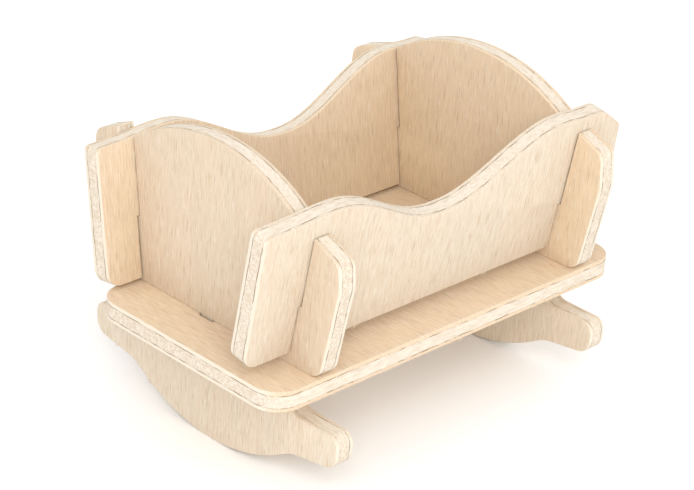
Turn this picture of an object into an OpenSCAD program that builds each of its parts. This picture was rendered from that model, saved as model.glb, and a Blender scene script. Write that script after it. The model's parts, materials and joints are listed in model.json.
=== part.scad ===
// Miniature slot-together cradle of three-layer plywood, in millimetres, +Z up.
// Origin: on the floor, under the lowest point of the rockers, midway along the length.
// +X runs to the head end, -Y is the front. Each panel is two face veneers on a core.

/* [Plywood] */
// Thickness of every panel
ply_t = 3; // [2:0.5:5]
// Thickness of each face veneer
veneer_t = 0.6; // [0.4:0.05:1.2]
// Clearance on each side of a slotted joint
slot_gap = 0.2; // [0.05:0.05:0.3]

/* [Board] */
// Length of the board the box stands on
board_len = 67; // [50:0.1:90]
// Width of the board
board_wid = 36; // [30:1:60]
// Radius of the board's corners
board_corner_r = 4; // [0:0.2:6]
// How far the board sits to the front of the box
board_shift = 3.6; // [0:0.1:6]
// How far the box sits to the back of the rockers
box_shift = 1.35; // [0:0.05:3]

/* [Side panels] */
// Length of a side panel along its bottom edge
side_len = 69.4; // [50:0.1:90]
// How far the front side panel reaches past the board's foot end
front_reach = 0.7; // [0:0.1:3]
// How far the back side panel stays short of the board's foot end
back_inset = 1.5; // [0:0.1:4]
// Outward lean of the side panels, in degrees
flare = 8.9; // [0:0.1:15]
// Half the width across the side panels' outer faces, at the board
box_half_w = 16; // [12:0.1:24]
// Gap between the front side panel and the board
front_lift = 1.8; // [0:0.1:3]
// Gap between the back side panel and the board
back_lift = 0.1; // [0:0.1:3]
// Height of the rounded hump near the foot, up the slope
hump_h = 20.5; // [16:0.1:30]
// Height of the dip in the middle
dip_h = 13.8; // [10:0.1:20]
// Height of the shoulder near the head
shoulder_h = 21.1; // [17:0.1:32]
// Distance of the hump from the foot end
hump_x = 12.5; // [9:0.5:20]
// Distance of the dip from the foot end
dip_x = 33.5; // [24:0.5:40]
// Distance of the shoulder's start from the foot end
shoulder_x = 56; // [45:0.5:70]

/* [End panels] */
// Distance of the footboard's outer face from the board's end
foot_inset = 7.5; // [3:0.5:12]
// Clear length between footboard and headboard
clear_len = 47.1; // [35:0.1:65]
// Height of the footboard's arch above the board
foot_h = 25.8; // [20:0.1:36]
// Radius of the footboard's arch
foot_arch_r = 26.7; // [22:0.1:40]
// Height of the headboard's arch above the board
head_h = 26.5; // [20:0.1:40]
// Radius of the headboard's arch
head_arch_r = 28.6; // [22:0.1:42]
// Height of the footboard's front ear
foot_ear_h = 19; // [15:0.1:24]
// Height of the headboard's front ear
head_ear_h = 20.4; // [15:0.1:24]
// Height of the footboard's back ear
foot_back_ear_h = 20.8; // [15:0.1:24]
// Height of the headboard's back ear
head_back_ear_h = 20.6; // [15:0.1:24]
// Half the width of an end panel across its ears
ear_reach = 24.2; // [20:0.2:34]
// How much further the headboard's back ear reaches
head_ear_extra = 1.1; // [0:0.1:3]
// Half the width of an end panel where it stands on the board
ear_foot = 21.6; // [18:0.2:30]
// Height of the half-lap joints above the board
lap_h = 9; // [6:0.5:14]

/* [Rockers] */
// Height of a rocker, from the floor to the board
rocker_h = 15; // [10:0.5:24]
// Radius of the rocking curve
belly_r = 27; // [22:0.5:60]
// Half the length of a rocker, to the tip of a toe
toe_reach = 24.4; // [20:0.1:36]
// Height of the top of a toe above the floor
toe_top = 11; // [8:0.2:16]
// Half the length of the flat edge under the board
neck_half = 13.2; // [10:0.2:18]

/* [Tabs] */
// Width of the tab under each end panel
tab_w = 2.4; // [1.6:0.2:8]
// How far a tab reaches into its rocker
tab_depth = 1.8; // [1:0.2:4]
// Extra room in the board's holes on the outer side of the tabs
tab_slack = 0.35; // [0.1:0.05:0.6]

/* [Hidden] */
core_t = ply_t - 2 * veneer_t;
board_z = rocker_h + ply_t;
board_x0 = -board_len / 2;
board_y = box_shift - board_shift;
front_x0 = board_x0 - front_reach;
back_x0 = board_x0 + back_inset;
foot_x = board_x0 + foot_inset;
head_x = foot_x + ply_t + clear_len;
tab_room = 0.5;
tab_hole_w = tab_w + tab_room;
notch_gap = 0.2;
past = 1;
panel_r = 2.2;
arch_half_w = 16.6;
crown_step = 1;
ear_start = 19.6;
ear_back = 0.4;
ear_drop = 1.7;
ear_r = 2;
ear_wide_h = 13.8;
ear_bulge_r = 5;
near_drop = 0.6;
near_r = 0.9;
wave_gap = 0.4;
dip_flat = 0.7;
crest_gap = 3;
crest_drop = 0.25;
crest_r = 3;
head_slope = [5.6, 3.3];
head_lean = 1.5;
head_corner_r = 1.4;
belly_end = 31;
bend_x = 16;
bend_r = 6;
toe_lean = 0.2;
toe_rise = 1.2;
toe_r = 1.6;
neck_flare = 2.6;
neck_r = 2.6;
veneer_color = [0.93, 0.83, 0.68];
core_color = [0.96, 0.91, 0.82];

// ---- outline helpers ----

// Points of the arc that rounds corner b, between neighbours a and c
function corner(a, b, c, r, n = 8) =
    r == 0 ? [b] :
    let (u = (a - b) / norm(a - b),
         v = (c - b) / norm(c - b),
         half = acos(u * v) / 2,
         mid = b + (u + v) / norm(u + v) * r / sin(half),
         p = b + u * r / tan(half) - mid,
         q = b + v * r / tan(half) - mid,
         a0 = atan2(p.y, p.x),
         turn = (atan2(q.y, q.x) - a0 + 540) % 360 - 180)
    [for (i = [0:n]) mid + r * [cos(a0 + turn * i / n), sin(a0 + turn * i / n)]];

// A closed outline from corners given as [x, y, radius]
function rounded(p) =
    let (n = len(p))
    [for (i = [0:n - 1])
        let (a = p[(i + n - 1) % n], b = p[i], c = p[(i + 1) % n])
        each corner([a.x, a.y], [b.x, b.y], [c.x, c.y], b[2])];

// Half a cosine wave from point a to point b, as corners of no radius
function wave(a, b, n = 24) =
    [for (i = [0:n])
        [a.x + (b.x - a.x) * i / n, a.y + (b.y - a.y) * (1 - cos(180 * i / n)) / 2, 0]];

// An arc of radius r about [0, cy] between two angles, as corners of no radius
function arc(cy, r, a0, a1, n = 24) =
    [for (i = [0:n])
        let (a = a0 + (a1 - a0) * i / n)
        [r * cos(a), cy + r * sin(a), 0]];

// A half outline mirrored to the left, in reverse order
function mirrored(p) =
    [for (i = [len(p) - 1:-1:0]) [-p[i].x, p[i].y, p[i][2]]];

// ---- panel outlines ----

module board_outline() {
    x1 = board_x0 + board_len;
    y0 = board_y - board_wid / 2;
    y1 = board_y + board_wid / 2;
    r = board_corner_r;
    difference() {
        polygon(rounded([[board_x0, y0, r], [x1, y0, r], [x1, y1, r], [board_x0, y1, r]]));
        translate([foot_x - tab_slack, box_shift - tab_hole_w / 2])
            square([ply_t + tab_slack + slot_gap, tab_hole_w]);
        translate([head_x - slot_gap, box_shift - tab_hole_w / 2])
            square([ply_t + tab_slack + slot_gap, tab_hole_w]);
    }
}

// Side panel laid flat: foot end at x = 0, heights measured up the slope from the board
module side_outline(x0, lift) {
    near_top = hump_h - near_drop;
    slope_x = side_len - head_slope.x;
    top = concat(
        wave([slope_x - crest_gap, shoulder_h - crest_drop], [shoulder_x, shoulder_h], 4),
        wave([shoulder_x - wave_gap, shoulder_h], [dip_x + dip_flat, dip_h]),
        wave([dip_x - dip_flat, dip_h], [hump_x, hump_h]),
        wave([hump_x - wave_gap, hump_h], [near_r + wave_gap, near_top], 12));
    difference() {
        translate([0, lift])
            polygon(rounded(concat(
                [[0, near_top, near_r], [0, 0, panel_r], [side_len, 0, panel_r],
                 [side_len - head_lean, shoulder_h - head_slope.y, head_corner_r],
                 [slope_x, shoulder_h - crest_drop, crest_r]],
                top)));
        side_slot(foot_x - x0);
        side_slot(head_x - x0);
    }
}

// Slot cut up from a side panel's bottom edge, its foot edge at x
module side_slot(x) {
    translate([x - slot_gap, -past])
        square([ply_t + 2 * slot_gap, lap_h + past]);
}

// Right half of an end panel's outline, from its top to its tab
function end_half(h, arch_r, ear_h, reach) =
    concat(
        arc(h - arch_r, arch_r, 90 - crown_step, acos(arch_half_w / arch_r), 18),
        [[ear_start, ear_h, 0], [reach - ear_back, ear_h - ear_drop, ear_r],
         [reach, ear_wide_h, ear_bulge_r], [ear_foot, 0, panel_r],
         [tab_w / 2, 0, 0], [tab_w / 2, -ply_t - tab_depth, 0]]);

// End panel in its own plane: centred, standing on y = 0, its back ear on the right
module end_outline(h, arch_r, ear_h, back_ear_h, back_reach) {
    difference() {
        polygon(rounded(concat(
            end_half(h, arch_r, back_ear_h, back_reach),
            mirrored(end_half(h, arch_r, ear_h, ear_reach)))));
        end_slot();
        mirror([1, 0]) end_slot();
    }
}

// Leaning slot cut down from an end panel's top edge for a side panel
module end_slot() {
    translate([box_half_w, 0])
        rotate(-flare)
            translate([-ply_t - slot_gap, lap_h])
                square([ply_t + 2 * slot_gap, head_h]);
}

// Rocker in its own plane: centred, lowest point at the origin
module rocker_outline() {
    bend_z = belly_r * (1 - cos(belly_end))
        + (bend_x - belly_r * sin(belly_end)) * tan(belly_end);
    half = concat(
        arc(belly_r, belly_r, -90 + belly_end / 24, -90 + belly_end, 23),
        [[bend_x, bend_z, bend_r], [toe_reach - toe_lean, bend_z + toe_rise, panel_r],
         [toe_reach, toe_top, toe_r], [neck_half + neck_flare, toe_top, neck_r],
         [neck_half, rocker_h, 0]]);
    difference() {
        polygon(rounded(concat(half, mirrored(half))));
        translate([box_shift - tab_hole_w / 2, rocker_h - tab_depth - notch_gap])
            square([tab_hole_w, tab_depth + notch_gap + past]);
    }
}

// ---- placing ----

// One layer of an upright panel whose outline is in Y and Z
module upright(x, z) {
    translate([x, 0, z]) rotate([90, 0, 90]) children();
}

module foot_layer(at, t) {
    upright(foot_x + at, board_z)
        linear_extrude(t) translate([box_shift, 0])
            end_outline(foot_h, foot_arch_r, foot_ear_h, foot_back_ear_h, ear_reach);
}

module head_layer(at, t) {
    upright(head_x + at, board_z)
        linear_extrude(t) translate([box_shift, 0])
            end_outline(head_h, head_arch_r, head_ear_h, head_back_ear_h,
                        ear_reach + head_ear_extra);
}

module rocker_layer(x, at, t) {
    upright(x + at, 0) linear_extrude(t) rocker_outline();
}

module board_layer(z, t) {
    translate([0, 0, z]) linear_extrude(t) board_outline();
}

// One layer of a leaning side panel; depth is measured inward from its outer face
module side_layer(x0, lift, depth, t) {
    translate([x0, -box_half_w, board_z])
        rotate([90 + flare, 0, 0])
            translate([0, 0, -depth - t]) linear_extrude(t) side_outline(x0, lift);
}

module front_layer(depth, t) {
    translate([0, box_shift, 0]) side_layer(front_x0, front_lift, depth, t);
}

module back_layer(depth, t) {
    translate([0, box_shift, 0])
        mirror([0, 1, 0]) side_layer(back_x0, back_lift, depth, t);
}

// ---- pieces ----

module board_top_veneer() color(veneer_color) board_layer(board_z - veneer_t, veneer_t);
module board_core() color(core_color) board_layer(rocker_h + veneer_t, core_t);
module board_bottom_veneer() color(veneer_color) board_layer(rocker_h, veneer_t);

module footboard_outer_veneer() color(veneer_color) foot_layer(0, veneer_t);
module footboard_core() color(core_color) foot_layer(veneer_t, core_t);
module footboard_inner_veneer() color(veneer_color) foot_layer(ply_t - veneer_t, veneer_t);

module headboard_inner_veneer() color(veneer_color) head_layer(0, veneer_t);
module headboard_core() color(core_color) head_layer(veneer_t, core_t);
module headboard_outer_veneer() color(veneer_color) head_layer(ply_t - veneer_t, veneer_t);

module front_side_outer_veneer() color(veneer_color) front_layer(0, veneer_t);
module front_side_core() color(core_color) front_layer(veneer_t, core_t);
module front_side_inner_veneer() color(veneer_color) front_layer(ply_t - veneer_t, veneer_t);

module back_side_outer_veneer() color(veneer_color) back_layer(0, veneer_t);
module back_side_core() color(core_color) back_layer(veneer_t, core_t);
module back_side_inner_veneer() color(veneer_color) back_layer(ply_t - veneer_t, veneer_t);

module foot_rocker_outer_veneer() color(veneer_color) rocker_layer(foot_x, 0, veneer_t);
module foot_rocker_core() color(core_color) rocker_layer(foot_x, veneer_t, core_t);
module foot_rocker_inner_veneer()
    color(veneer_color) rocker_layer(foot_x, ply_t - veneer_t, veneer_t);

module head_rocker_inner_veneer() color(veneer_color) rocker_layer(head_x, 0, veneer_t);
module head_rocker_core() color(core_color) rocker_layer(head_x, veneer_t, core_t);
module head_rocker_outer_veneer()
    color(veneer_color) rocker_layer(head_x, ply_t - veneer_t, veneer_t);

board_top_veneer();
board_core();
board_bottom_veneer();
footboard_outer_veneer();
footboard_core();
footboard_inner_veneer();
headboard_outer_veneer();
headboard_core();
headboard_inner_veneer();
front_side_outer_veneer();
front_side_core();
front_side_inner_veneer();
back_side_outer_veneer();
back_side_core();
back_side_inner_veneer();
foot_rocker_outer_veneer();
foot_rocker_core();
foot_rocker_inner_veneer();
head_rocker_outer_veneer();
head_rocker_core();
head_rocker_inner_veneer();
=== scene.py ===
"""Looks for a miniature slot-together plywood cradle, laid out as a Blender add-on.

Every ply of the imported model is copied, its outline softened like sanded wood, and
given a plywood finish: fine veneer grain on the faces, cross-grained core, glue lines
and torn fibres on the edges.
"""
import json
import math
import random
from collections import namedtuple

import bmesh
import bpy
from bpy.props import FloatProperty, FloatVectorProperty, IntProperty, PointerProperty
from mathutils import Euler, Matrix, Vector

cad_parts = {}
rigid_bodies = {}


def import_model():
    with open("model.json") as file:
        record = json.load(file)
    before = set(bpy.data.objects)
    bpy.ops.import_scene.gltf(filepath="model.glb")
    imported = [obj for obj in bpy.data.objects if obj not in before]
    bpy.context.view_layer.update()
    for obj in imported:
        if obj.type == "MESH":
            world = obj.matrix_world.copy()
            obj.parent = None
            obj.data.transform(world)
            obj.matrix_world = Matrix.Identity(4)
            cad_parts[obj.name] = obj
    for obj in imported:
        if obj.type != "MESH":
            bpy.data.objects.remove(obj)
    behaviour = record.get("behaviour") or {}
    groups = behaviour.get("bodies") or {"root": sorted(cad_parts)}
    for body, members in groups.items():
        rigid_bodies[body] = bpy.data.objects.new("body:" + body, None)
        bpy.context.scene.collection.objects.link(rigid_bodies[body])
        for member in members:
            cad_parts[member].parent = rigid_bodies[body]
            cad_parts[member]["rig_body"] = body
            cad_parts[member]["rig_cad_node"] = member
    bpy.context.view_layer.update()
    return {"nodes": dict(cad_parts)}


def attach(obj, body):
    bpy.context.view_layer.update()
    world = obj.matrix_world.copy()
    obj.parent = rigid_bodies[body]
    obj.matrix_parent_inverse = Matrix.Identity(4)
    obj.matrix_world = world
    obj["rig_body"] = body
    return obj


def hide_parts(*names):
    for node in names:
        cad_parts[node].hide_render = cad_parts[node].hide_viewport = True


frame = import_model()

bl_info = {
    "name": "Plywood Cradle",
    "version": (1, 0, 0),
    "blender": (4, 5, 0),
    "location": "3D View > Sidebar > Cradle",
    "description": "Builds the looks of a miniature plywood cradle",
    "category": "Object",
}

MM = 0.001

# No fibres are torn below this height, so that none reaches through the floor
CLEAR_OF_FLOOR = 2.5 * MM
# Points of a ply that are closer than this are one point
SAME_POINT = 1e-6
# How far a panel's grain is shifted across, for each millimetre that it is shifted along
SHIFT_ACROSS = 0.7
# The camera: its place in millimetres, its turn in degrees, and its lens
CAMERA_PLACE = (-215.71, -206.61, 169.86)
CAMERA_TURN = (63.50, -3.54, -44.27)
CAMERA_LENS = 124.23

# A panel: its plies from the outer face inwards, the way its outer face looks, the way its
# face grain runs, a number that shifts its grain so that no two panels match, how pale and
# how pink its sheet is, and how bright: partly its own tone, partly painted shade
Panel = namedtuple("Panel", "plies outward grain shift pale pink brightness")

PANELS = {
    "board": Panel(
        ("board_top_veneer", "board_core", "board_bottom_veneer"),
        (0, 0, 1), (0, 1, 0), 3.0, pale=0.15, pink=0.70, brightness=0.97,
    ),
    "footboard": Panel(
        ("footboard_outer_veneer", "footboard_core", "footboard_inner_veneer"),
        (-1, 0, 0), (0, 0, 1), 11.0, pale=0.60, pink=0.15, brightness=0.89,
    ),
    "headboard": Panel(
        ("headboard_outer_veneer", "headboard_core", "headboard_inner_veneer"),
        (1, 0, 0), (0, 0, 1), 23.0, pale=0.10, pink=0.15, brightness=0.95,
    ),
    "front_side": Panel(
        ("front_side_outer_veneer", "front_side_core", "front_side_inner_veneer"),
        (0, -1, 0), (0, 0, 1), 37.0, pale=1.0, pink=0.05, brightness=0.98,
    ),
    "back_side": Panel(
        ("back_side_outer_veneer", "back_side_core", "back_side_inner_veneer"),
        (0, 1, 0), (0, 0, 1), 51.0, pale=0.28, pink=0.15, brightness=0.96,
    ),
    "foot_rocker": Panel(
        ("foot_rocker_outer_veneer", "foot_rocker_core", "foot_rocker_inner_veneer"),
        (-1, 0, 0), (0, 0, 1), 67.0, pale=1.0, pink=0.05, brightness=1.0,
    ),
    "head_rocker": Panel(
        ("head_rocker_outer_veneer", "head_rocker_core", "head_rocker_inner_veneer"),
        (1, 0, 0), (0, 0, 1), 83.0, pale=0.80, pink=0.10, brightness=1.0,
    ),
}


# ---- settings ----

def colour(name, description, default):
    return FloatVectorProperty(
        name=name, description=description, default=default,
        subtype="COLOR", size=3, min=0.0, max=1.0,
    )


def length(name, description, default, low, high):
    return FloatProperty(
        name=name, description=description, default=default, min=low, max=high,
        subtype="DISTANCE", unit="LENGTH", precision=6,
    )


class CradleWood(bpy.types.PropertyGroup):
    """Colours and detail of the plywood"""

    face: colour("Face", "Warm ground of the face veneers", (0.765, 0.60, 0.41))
    pale: colour("Pale face", "Ground of the paler sheets", (0.71, 0.63, 0.515))
    blush: colour("Blush", "Pinkish patches of the face veneers", (0.745, 0.57, 0.425))
    streak: colour("Streak", "Darker lines of the grain", (0.54, 0.40, 0.27))
    light: colour("Light fibre", "Lighter lines of the grain", (0.80, 0.73, 0.61))
    long_edge: colour("Long grain", "Core where its fibres run along", (0.735, 0.66, 0.555))
    end_edge: colour("End grain", "Core where its fibres are cut", (0.55, 0.43, 0.31))
    # also the tint of the paler arris band, which is partly wear and partly a painted
    # highlight
    veneer_edge: colour("Veneer edge", "Cut edge of a veneer", (0.73, 0.655, 0.54))
    glue: colour("Glue line", "Line between two plies", (0.34, 0.23, 0.14))
    arris: length("Arris", "Rounding of the panels' outer edges", 0.14 * MM, 0, MM)
    relief: length("Relief", "Depth of the raised fibres", 0.05 * MM, 0, MM)


class CradleFibres(bpy.types.PropertyGroup):
    """Torn fibres left by the cutter"""

    count: IntProperty(
        name="Tufts", description="Spots along the edges where fibres are torn",
        default=16, min=0, max=80,
    )
    reach: length("Reach", "Length of a long sliver", 0.8 * MM, 0, 3 * MM)
    thick: length("Thickness", "Thickness of a sliver at its root", 0.09 * MM, 0, MM)
    seed: IntProperty(name="Seed", description="Pattern of the slivers", default=7)


class CradleStage(bpy.types.PropertyGroup):
    """Floor, light and camera"""

    floor: colour("Floor", "Colour of the floor", (0.98, 0.98, 0.98))
    world: FloatProperty(
        name="Room light", description="Strength of the light from all round",
        default=1.04, min=0.0, max=5.0,
    )
    key: FloatProperty(
        name="Main light", description="Power of the main light", default=2.3,
        min=0.0, subtype="POWER", unit="POWER",
    )
    fill: FloatProperty(
        name="Fill light", description="Power of the fill light", default=0.25,
        min=0.0, subtype="POWER", unit="POWER",
    )


# ---- shader maths ----

class Num:
    """A number that varies over a surface; Python's operators add its Math nodes."""

    def __init__(self, shader, socket):
        self.shader, self.socket = shader, socket

    def math(self, operation, *others, clamp=False):
        inputs = {0: self}
        inputs.update({i + 1: other for i, other in enumerate(others)})
        return self.shader.number(
            "ShaderNodeMath", {"operation": operation, "use_clamp": clamp}, inputs
        )

    def __add__(self, other):
        return self.math("ADD", other)

    __radd__ = __add__

    def __mul__(self, other):
        return self.math("MULTIPLY", other)

    __rmul__ = __mul__

    def __sub__(self, other):
        return self.math("SUBTRACT", other)

    def __rsub__(self, other):
        return self.math("MULTIPLY_ADD", -1.0, other)

    def __abs__(self):
        return self.math("ABSOLUTE")

    def clamped(self):
        return self.math("ADD", 0.0, clamp=True)

    def step(self, low, high):
        """0 below low, 1 above high, and smooth in between; low may be the higher."""
        return self.shader.number(
            "ShaderNodeMapRange", {"interpolation_type": "SMOOTHSTEP"},
            {"Value": self, "From Min": low, "From Max": high},
        )

    def band(self, middle, half, soft):
        """1 near middle and 0 further off than half."""
        return abs(self - middle).step(half, max(half - soft, 0.0))


class Shader:
    """A material under construction."""

    def __init__(self, name):
        self.material = bpy.data.materials.new(name)
        self.material.use_nodes = True
        self.tree = self.material.node_tree
        self.surface = self.tree.nodes["Principled BSDF"]

    def node(self, kind, settings=None, inputs=None):
        made = self.tree.nodes.new(kind)
        for key, value in (settings or {}).items():
            setattr(made, key, value)
        for key, value in (inputs or {}).items():
            self.feed(made.inputs[key], value)
        return made

    def feed(self, socket, value):
        if isinstance(value, Num):
            value = value.socket
        if isinstance(value, bpy.types.NodeSocket):
            self.tree.links.new(value, socket)
        else:
            socket.default_value = value

    def number(self, kind, settings=None, inputs=None, output=0):
        return Num(self, self.node(kind, settings, inputs).outputs[output])

    def dot(self, vector, axis):
        return self.number(
            "ShaderNodeVectorMath", {"operation": "DOT_PRODUCT"},
            {0: vector, 1: tuple(axis)}, output="Value",
        )

    def vector(self, x, y, z):
        return self.node("ShaderNodeCombineXYZ", None, {0: x, 1: y, 2: z}).outputs[0]

    def noise(self, where, scale=1.0, detail=2.0, rough=0.5, distortion=0.0):
        return self.number(
            "ShaderNodeTexNoise", None,
            {"Vector": where, "Scale": scale, "Detail": detail, "Roughness": rough,
             "Distortion": distortion},
        )

    def mix(self, factor, under, over, blend="MIX"):
        """Colour over laid on colour under by factor."""
        made = self.node(
            "ShaderNodeMix", {"data_type": "RGBA", "blend_type": blend},
        )
        for name, value in (("A", under), ("B", over), ("Factor", factor)):
            sockets = [s for s in made.inputs if s.name == name and s.enabled]
            if name != "Factor" and not isinstance(value, bpy.types.NodeSocket):
                value = (*value, 1.0)
            self.feed(sockets[0], value)
        return [s for s in made.outputs if s.enabled][0]


class SheetPlace:
    """Where a point lies in a panel, in millimetres: along its grain, across it and down."""

    def __init__(self, shader, along, across, down):
        self.shader, self.along, self.across, self.down = shader, along, across, down

    def noise(self, along, across, down, lift=0.0, **kind):
        """Noise that is drawn out or squeezed by its own factor each way."""
        return self.shader.noise(
            self.shader.vector(
                self.along * along, self.across * across, self.down * down + lift
            ), **kind
        )

    def swayed(self, aside):
        """The same place where fibres lie aside from a straight line."""
        return SheetPlace(self.shader, self.along, self.across + aside, self.down)


Sheet = namedtuple("Sheet", "out along across top whole veneer")


def sheet_of(panel):
    """A panel's own directions, its outer level, and its whole and veneer thickness in mm."""
    out = face_direction(panel.plies[0], panel.outward)
    along = (Vector(panel.grain) - out * out.dot(Vector(panel.grain))).normalized()
    outer, inner = [
        [v.co.dot(out) for v in frame["nodes"][ply].data.vertices]
        for ply in (panel.plies[0], panel.plies[-1])
    ]
    return Sheet(
        out, along, out.cross(along), max(outer),
        whole=(max(outer) - min(inner)) / MM, veneer=(max(outer) - min(outer)) / MM,
    )


def face_veneer(sh, at, panel, wood):
    """Colour, height, streaks and fibres of the face veneers, whose fibres run along."""
    swayed = at.swayed((at.noise(0.05, 0.12, 0.2, detail=1.0) - 0.5) * 1.6)
    broad = swayed.noise(0.035, 0.16, 1.0, detail=3.0, rough=0.6)
    bands = swayed.noise(0.03, 0.9, 3.0, detail=4.0, rough=0.65)
    streaks = swayed.noise(0.28, 2.6, 3.0, detail=2.0, rough=0.6)
    fibres = swayed.noise(0.40, 5.2, 5.0, detail=1.5)
    mottle = at.noise(1.5, 2.2, 2.0, detail=2.0)
    flecks = swayed.noise(0.5, 5.5, 5.0, lift=9.0, detail=1.0)
    pores = fibres.step(0.60, 0.74) * streaks.step(0.42, 0.60)
    bright = flecks.step(0.56, 0.72)

    look = sh.mix(panel.pale, wood.face, wood.pale)
    # darkens each panel by its own factor: partly the sheet's tone, partly painted shade where
    # its faces lie in less light
    look = sh.mix(1.0, look, (panel.brightness,) * 3, blend="MULTIPLY")
    for mask, strength, tint in (
        (broad.step(0.32, 0.68), 0.25 + panel.pink * 0.75, wood.blush),
        (bands.step(0.42, 0.75), 0.22, wood.streak),
        (streaks.step(0.44, 0.68), 0.26, wood.streak),
        (mottle.step(0.50, 0.75), 0.16, wood.streak),
        (fibres.step(0.42, 0.60), 0.32, wood.streak),
        (pores, 0.62, wood.streak),
        (bright, 0.50, wood.light),
    ):
        look = sh.mix(mask * strength, look, tint)
    height = streaks * 0.35 + fibres * 0.6 - pores * 0.8 + bright * 0.5
    return look, height, streaks, fibres


def cut_edge(sh, at, normal, sheet, face, streaks, wood):
    """Colour and height of the cut edges, where the cross-grained core and glue show."""
    # which ply is cut is read from the depth, with a slight wander
    wander = (at.noise(0.45, 0.45, 0.0, detail=4.0) - 0.5) * 0.36
    depth = at.down + wander
    soft = 0.05
    inner_joint = sheet.whole - sheet.veneer
    core = depth.step(sheet.veneer - soft, sheet.veneer + soft) * depth.step(
        inner_joint + soft, inner_joint - soft
    )
    core_end = abs(sh.dot(normal, sheet.across)).step(0.25, 0.85)
    veneer_end = abs(sh.dot(normal, sheet.along)).step(0.25, 0.85)

    long_lines = at.noise(3.4, 0.55, 3.4, detail=3.0, rough=0.7, distortion=0.5)
    here = sh.vector(at.along, at.across, at.down)
    torn = sh.noise(here, scale=2.3, detail=2.0, rough=0.6, distortion=1.0)
    specks = sh.noise(here, scale=6.0, detail=1.0)
    core_long = sh.mix(long_lines.step(0.40, 0.66) * 0.55, wood.long_edge, wood.end_edge)
    core_cut = sh.mix(torn.step(0.42, 0.60) * 0.58, wood.long_edge, wood.end_edge)
    core_cut = sh.mix(specks.step(0.58, 0.70) * 0.35, core_cut, wood.streak)
    look = sh.mix(
        core, sh.mix(veneer_end, wood.veneer_edge, face), sh.mix(core_end, core_long, core_cut)
    )

    gap = at.noise(0.45, 0.45, 0.4, detail=2.0)
    glue = depth.band(sheet.veneer, 0.09, 0.07) + depth.band(inner_joint, 0.09, 0.07)
    glue = glue * (gap.step(0.40, 0.62) * 0.85 + 0.15)
    look = sh.mix(glue.clamped(), look, wood.glue)
    height = (
        core * (core_end * (torn * 2.6 + specks) + (1 - core_end) * long_lines * 1.6)
        + (1 - core) * streaks * 0.6 - glue * 1.6
    )
    return look, height


def plywood(name, wood):
    """Three-layer plywood in a panel's own directions."""
    panel = PANELS[name]
    sheet = sheet_of(panel)
    sh = Shader(name + "_plywood")
    place = sh.node("ShaderNodeTexCoord")
    point, normal = place.outputs["Object"], place.outputs["Normal"]
    at = SheetPlace(
        sh, sh.dot(point, sheet.along / MM) + panel.shift,
        sh.dot(point, sheet.across / MM) + panel.shift * SHIFT_ACROSS,
        sheet.top / MM - sh.dot(point, sheet.out / MM),
    )
    face, face_height, streaks, fibres = face_veneer(sh, at, panel, wood)
    edge, edge_height = cut_edge(sh, at, normal, sheet, face, streaks, wood)

    # the arris is painted paler: partly wear, partly a painted highlight where the rounded
    # edge catches the light
    facing = abs(sh.dot(normal, sheet.out))
    on_edge = facing.step(0.86, 0.45)
    wear_and_highlight = facing.band(0.72, 0.25, 0.2)
    tint = sh.mix(wear_and_highlight * 0.30, sh.mix(on_edge, face, edge), wood.veneer_edge)
    bump = sh.node(
        "ShaderNodeBump", None,
        {"Strength": 1.0, "Distance": wood.relief,
         "Height": face_height * (1 - on_edge) + on_edge * edge_height},
    )
    sh.feed(sh.surface.inputs["Base Color"], tint)
    sh.feed(sh.surface.inputs["Roughness"], 0.62 + fibres * 0.10 + on_edge * 0.16)
    sh.feed(sh.surface.inputs["Normal"], bump.outputs["Normal"])
    sh.surface.inputs["Specular IOR Level"].default_value = 0.3
    return sh.material


# ---- modelling ----

def face_direction(node, hint):
    """The way a flat ply's large face looks, on the side that hint points to."""
    areas = {}
    hint = Vector(hint)
    for polygon in frame["nodes"][node].data.polygons:
        if polygon.normal.dot(hint) > 0.5:
            key = tuple(round(x, 3) for x in polygon.normal)
            areas.setdefault(key, [0.0, Vector((0, 0, 0))])
            areas[key][0] += polygon.area
            areas[key][1] += polygon.normal * polygon.area
    return max(areas.values(), key=lambda entry: entry[0])[1].normalized()


def deselect_all():
    if bpy.context.object and bpy.context.object.mode != "OBJECT":
        bpy.ops.object.mode_set(mode="OBJECT")
    bpy.ops.object.select_all(action="DESELECT")


def copy_of_ply(node):
    """A copy of a CAD ply with its triangles merged into clean faces."""
    deselect_all()
    source = frame["nodes"][node]
    source.select_set(True)
    bpy.context.view_layer.objects.active = source
    bpy.ops.object.duplicate()
    ply = bpy.context.object
    ply.parent = None
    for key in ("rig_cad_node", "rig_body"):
        if key in ply:
            del ply[key]
    ply.name = ply.data.name = node + "_wood"
    ply.data.materials.clear()
    bpy.ops.object.mode_set(mode="EDIT")
    bpy.ops.mesh.select_all(action="SELECT")
    bpy.ops.mesh.remove_doubles(threshold=SAME_POINT)
    bpy.ops.mesh.customdata_custom_splitnormals_clear()
    bpy.ops.mesh.dissolve_limited(angle_limit=math.radians(0.2))
    bpy.ops.mesh.select_all(action="DESELECT")
    bpy.ops.object.mode_set(mode="OBJECT")
    return ply


def soften_arris(ply, out, width):
    """Rounds the outline of the ply's face that looks along out."""
    mesh = ply.data
    level = max(v.co.dot(out) for v in mesh.vertices)
    rim = [abs(v.co.dot(out) - level) < SAME_POINT for v in mesh.vertices]
    bpy.ops.object.mode_set(mode="EDIT")
    bpy.ops.mesh.select_mode(type="EDGE")
    bpy.ops.mesh.select_all(action="DESELECT")
    shape = bmesh.from_edit_mesh(mesh)
    for edge in shape.edges:
        flat = [abs(f.normal.dot(out)) > 0.99 for f in edge.link_faces]
        edge.select = rim[edge.verts[0].index] and rim[edge.verts[1].index] and not all(flat)
    shape.select_flush_mode()
    bmesh.update_edit_mesh(mesh)
    bpy.ops.mesh.bevel(
        offset=width, offset_type="OFFSET", segments=3, profile=0.5,
        affect="EDGES", clamp_overlap=True,
    )
    bpy.ops.object.mode_set(mode="OBJECT")


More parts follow.
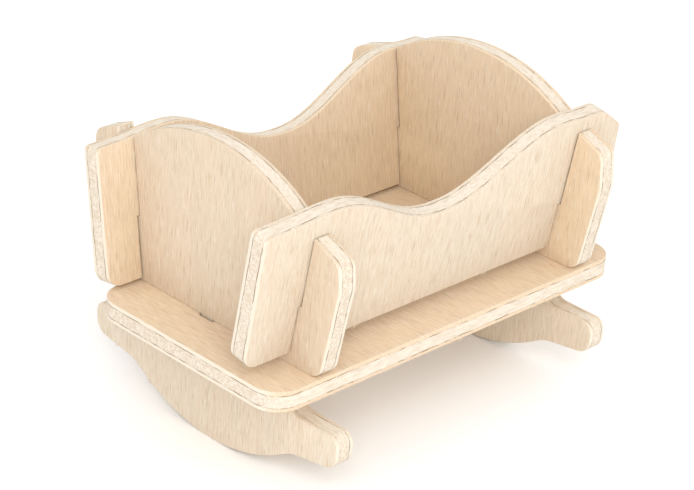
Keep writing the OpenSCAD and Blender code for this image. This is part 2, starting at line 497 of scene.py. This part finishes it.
def build_panel(name, wood):
    """The three plies of one panel, finished, on the body that they ride on."""
    plies, outward = PANELS[name].plies, PANELS[name].outward
    out = face_direction(plies[0], outward)
    material = plywood(name, wood)
    for node, finished_face, slot in zip(
        plies, (out, None, -out), ("veneer", "core", "veneer")
    ):
        ply = copy_of_ply(node)
        if finished_face:
            soften_arris(ply, finished_face, wood.arris)
        ply.data.materials.append(material)
        deselect_all()
        ply.select_set(True)
        bpy.context.view_layer.objects.active = ply
        bpy.ops.object.shade_smooth_by_angle(angle=math.radians(30))
        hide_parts(node)
        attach(ply, "root")


def lower_rim(node, out):
    """Where a ply's outer face meets its underside, off the floor: two ends, a way down."""
    mesh = frame["nodes"][node].data
    sides = {}
    for polygon in mesh.polygons:
        corners = [mesh.vertices[i].co for i in polygon.vertices]
        for k, start in enumerate(corners):
            end = corners[(k + 1) % len(corners)]
            key = frozenset(tuple(round(x, 6) for x in point) for point in (start, end))
            sides.setdefault(key, []).append((start.copy(), end.copy(), polygon.normal))
    rim = []
    for pair in sides.values():
        flat = [entry for entry in pair if entry[2].dot(out) > 0.99]
        under = [entry for entry in pair if entry[2].z < -0.5 and abs(entry[2].dot(out)) < 0.1]
        if not (flat and under):
            continue
        start, end = flat[0][:2]
        if min(start.z, end.z) > CLEAR_OF_FLOOR and (start - end).length > 0.1 * MM:
            rim.append((start, end, under[0][2].copy()))
    return rim


def front_rim(node, out):
    """The long front edge of a flat ply's underside: two ends and the way it faces."""
    mesh = frame["nodes"][node].data
    low = min(v.co.z for v in mesh.vertices)
    front = min(v.co.y for v in mesh.vertices)
    ends = [v.co.x for v in mesh.vertices
            if abs(v.co.z - low) < SAME_POINT and abs(v.co.y - front) < 10 * SAME_POINT]
    return [(Vector((min(ends), front, low)), Vector((max(ends), front, low)),
             Vector((0, -1, 0)))]


def sliver(root, way, reach, thick):
    """One torn fibre: a thin tapered splinter that starts inside the wood."""
    bpy.ops.mesh.primitive_cone_add(
        vertices=5, radius1=thick / 2, radius2=thick / 8, depth=reach,
        location=root + way * reach * 0.3,
        rotation=way.to_track_quat("Z", "Y").to_euler(),
    )
    return bpy.context.object


def tuft(rim, out, fibres, chance):
    """A few torn fibres that lie along one spot of a rim, in the order that chance draws."""
    start, end, down = chance.choices(rim, weights=[(e - s).length for s, e, _ in rim])[0]
    spot = start.lerp(end, chance.uniform(0.05, 0.95))
    along = (end - start).normalized()
    made = []
    for _ in range(chance.randint(3, 6)):
        root = spot + along * chance.uniform(-0.35, 0.35) * MM
        way = (
            along * chance.choice((-1, 1)) * chance.uniform(0.4, 1.0)
            + down * chance.uniform(0.1, 0.5) + out * chance.uniform(0.0, 0.25)
        ).normalized()
        made.append(sliver(
            root, way, fibres.reach * chance.uniform(0.35, 1.0),
            fibres.thick * chance.uniform(0.6, 1.0),
        ))
    return made


# The plies whose lower edge the cutter frayed: the way the outer face looks, how the edge
# is found, and its share of the tufts
FRAYED = {
    "front_side_outer_veneer": ((0, -1, 0), lower_rim, 0.30),
    "board_bottom_veneer": ((0, 0, -1), front_rim, 0.45),
    "foot_rocker_outer_veneer": ((-1, 0, 0), lower_rim, 0.25),
}


# ---- operators ----

class CRADLE_OT_board(bpy.types.Operator):
    """Finish the flat board that the box stands on"""

    bl_idname = "cradle.board"
    bl_label = "Board"

    def execute(self, context):
        build_panel("board", context.scene.cradle_wood)
        return {"FINISHED"}


class CRADLE_OT_end_panels(bpy.types.Operator):
    """Finish the arched footboard and headboard"""

    bl_idname = "cradle.end_panels"
    bl_label = "End panels"

    def execute(self, context):
        build_panel("footboard", context.scene.cradle_wood)
        build_panel("headboard", context.scene.cradle_wood)
        return {"FINISHED"}


class CRADLE_OT_side_panels(bpy.types.Operator):
    """Finish the two leaning side panels"""

    bl_idname = "cradle.side_panels"
    bl_label = "Side panels"

    def execute(self, context):
        build_panel("front_side", context.scene.cradle_wood)
        build_panel("back_side", context.scene.cradle_wood)
        return {"FINISHED"}


class CRADLE_OT_rockers(bpy.types.Operator):
    """Finish the two rockers under the board"""

    bl_idname = "cradle.rockers"
    bl_label = "Rockers"

    def execute(self, context):
        build_panel("foot_rocker", context.scene.cradle_wood)
        build_panel("head_rocker", context.scene.cradle_wood)
        return {"FINISHED"}


class CRADLE_OT_slivers(bpy.types.Operator):
    """Add the tufts of torn fibres along the panels' lower edges"""

    bl_idname = "cradle.slivers"
    bl_label = "Torn fibres"

    def execute(self, context):
        fibres = context.scene.cradle_fibres
        chance = random.Random(fibres.seed)
        deselect_all()
        made = []
        for node, (outward, find_rim, share) in FRAYED.items():
            out = face_direction(node, outward)
            rim = find_rim(node, out)
            if not rim:
                raise RuntimeError(node + " has no lower edge to fray")
            for _ in range(round(fibres.count * share)):
                made += tuft(rim, out, fibres, chance)
        if not made:
            return {"FINISHED"}
        deselect_all()
        for one in made:
            one.select_set(True)
        bpy.context.view_layer.objects.active = made[0]
        bpy.ops.object.join()
        tufts = bpy.context.object
        bpy.ops.object.transform_apply(location=True, rotation=True, scale=True)
        tufts.name = tufts.data.name = "torn_fibres"
        tufts.data.materials.clear()
        tufts.data.materials.append(self.finish(context.scene.cradle_wood))
        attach(tufts, "root")
        return {"FINISHED"}

    def finish(self, wood):
        """Pale splintered wood."""
        sh = Shader("torn_fibre")
        point = sh.node("ShaderNodeTexCoord").outputs["Object"]
        grain = sh.noise(point, scale=4000.0, detail=2.0)
        tone = sh.mix(grain.step(0.3, 0.7), wood.veneer_edge, wood.end_edge)
        bump = sh.node(
            "ShaderNodeBump", None, {"Distance": wood.relief, "Height": grain},
        )
        sh.feed(sh.surface.inputs["Base Color"], tone)
        sh.feed(sh.surface.inputs["Roughness"], 0.7 + grain * 0.2)
        sh.feed(sh.surface.inputs["Normal"], bump.outputs["Normal"])
        return sh.material


class CRADLE_OT_stage(bpy.types.Operator):
    """Add the pale floor, the soft lights and the camera"""

    bl_idname = "cradle.stage"
    bl_label = "Floor, light and camera"

    def execute(self, context):
        stage = context.scene.cradle_stage
        deselect_all()
        bpy.ops.mesh.primitive_plane_add(size=6.0, location=(0, 0, 0))
        floor = context.object
        floor.name = "floor"
        paint = Shader("floor_paper")
        spot = paint.node("ShaderNodeTexCoord").outputs["Object"]
        cloud = paint.noise(spot, scale=14.0, detail=2.0)
        tone = paint.mix(cloud * 0.4, stage.floor, (0.96, 0.96, 0.96))
        paint.feed(paint.surface.inputs["Base Color"], tone)
        paint.surface.inputs["Roughness"].default_value = 0.9
        paint.surface.inputs["Specular IOR Level"].default_value = 0.1
        floor.data.materials.append(paint.material)

        world = context.scene.world or bpy.data.worlds.new("room")
        context.scene.world = world
        world.use_nodes = True
        background = world.node_tree.nodes["Background"]
        background.inputs["Color"].default_value = (1.0, 1.0, 1.0, 1.0)
        background.inputs["Strength"].default_value = stage.world

        self.lamp("main_light", stage.key, 0.38, (-0.36, -0.44, 0.42), (1.0, 0.985, 0.96))
        self.lamp("fill_light", stage.fill, 0.40, (0.10, -0.40, 0.60), (1.0, 0.98, 0.95))

        data = bpy.data.cameras.new("camera")
        data.sensor_width = 36.0
        data.lens = CAMERA_LENS
        data.clip_start = 0.01
        data.clip_end = 20.0
        camera = bpy.data.objects.new("camera", data)
        context.scene.collection.objects.link(camera)
        camera.location = Vector(CAMERA_PLACE) * MM
        camera.rotation_euler = Euler([math.radians(x) for x in CAMERA_TURN])
        context.scene.camera = camera
        context.scene.view_settings.view_transform = "Standard"
        return {"FINISHED"}

    def lamp(self, name, power, size, spot, tint):
        data = bpy.data.lights.new(name, "AREA")
        data.energy, data.size, data.color = power, size, tint
        lamp = bpy.data.objects.new(name, data)
        bpy.context.scene.collection.objects.link(lamp)
        lamp.location = spot
        lamp.rotation_euler = (-Vector(spot)).to_track_quat("-Z", "Y").to_euler()


class CRADLE_PT_sidebar(bpy.types.Panel):
    """Lists the cradle's operators and settings"""

    bl_idname = "CRADLE_PT_sidebar"
    bl_label = "Plywood Cradle"
    bl_space_type = "VIEW_3D"
    bl_region_type = "UI"
    bl_category = "Cradle"

    def draw(self, context):
        column = self.layout.column()
        for step in STEPS:
            column.operator(step.bl_idname)
        for group in (context.scene.cradle_wood, context.scene.cradle_fibres,
                      context.scene.cradle_stage):
            box = self.layout.box()
            for name in type(group).__annotations__:
                box.prop(group, name)


GROUPS = {
    "cradle_wood": CradleWood, "cradle_fibres": CradleFibres, "cradle_stage": CradleStage,
}
STEPS = (
    CRADLE_OT_board, CRADLE_OT_end_panels, CRADLE_OT_side_panels, CRADLE_OT_rockers,
    CRADLE_OT_slivers, CRADLE_OT_stage,
)


def register():
    for made in (*GROUPS.values(), *STEPS, CRADLE_PT_sidebar):
        bpy.utils.register_class(made)
    for name, group in GROUPS.items():
        setattr(bpy.types.Scene, name, PointerProperty(type=group))


def unregister():
    for name in GROUPS:
        delattr(bpy.types.Scene, name)
    for made in reversed((*GROUPS.values(), *STEPS, CRADLE_PT_sidebar)):
        bpy.utils.unregister_class(made)


def main():
    register()
    bpy.ops.cradle.board()
    bpy.ops.cradle.end_panels()
    bpy.ops.cradle.side_panels()
    bpy.ops.cradle.rockers()
    bpy.ops.cradle.slivers()
    bpy.ops.cradle.stage()


if __name__ == "__main__":
    main()
